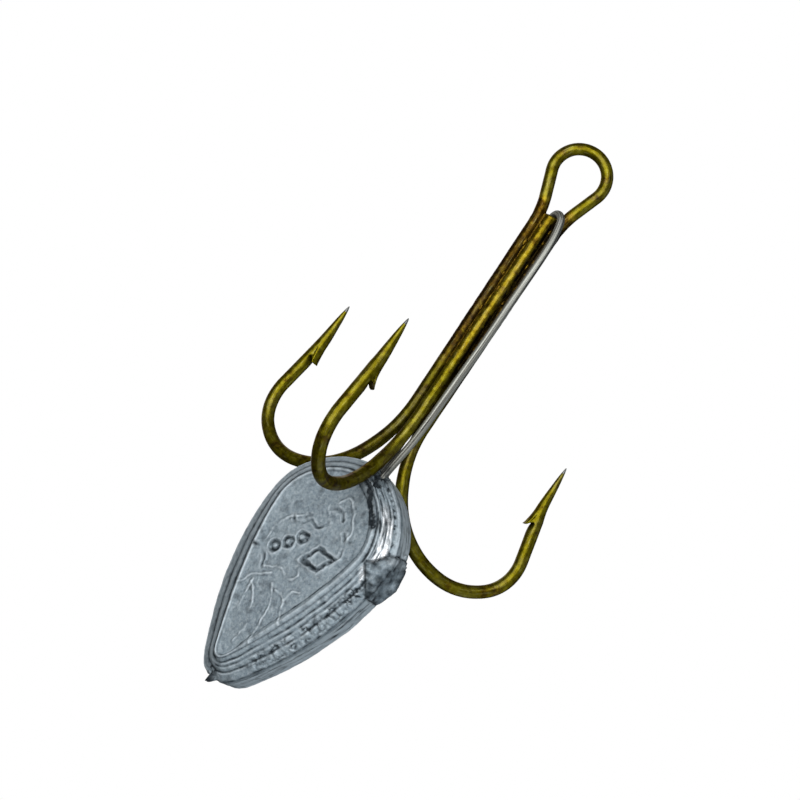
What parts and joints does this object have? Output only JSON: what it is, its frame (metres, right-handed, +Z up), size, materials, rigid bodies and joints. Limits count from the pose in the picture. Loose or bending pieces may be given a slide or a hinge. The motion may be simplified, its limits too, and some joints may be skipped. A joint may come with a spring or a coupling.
{
  "type": "treble hook",
  "caption": "Weighted treble hook for snagging: barbed wire hooks brazed along one shank with a line eye, and a cast lead teardrop held under the bends by a wire hairpin.",
  "frame": {"origin": "centre of the line eye at the top of the shank", "axes": "+Z up the shank towards the line eye, -Y the side that the weight's flat front face looks to, +X to the right seen from that side"},
  "size_m": [0.0409, 0.0418, 0.0894],
  "materials": {
    "bronze_wire": "bronzed, glossy lacquer, darker in patches",
    "braze": "rough brown brazing metal with heat stain",
    "hairpin_steel": "drawn wire, satin",
    "cast_lead": "as-cast lead, dull bluish grey with dark oxide in the hollows"
  },
  "bodies": {
    "root": {"double_hook_wire": "bronze_wire", "single_hook_wire": "bronze_wire", "braze_fillet_left": "braze", "braze_fillet_right": "braze", "hairpin_wire": "hairpin_steel", "lead_weight": "cast_lead"}
  },
  "joints": []
}
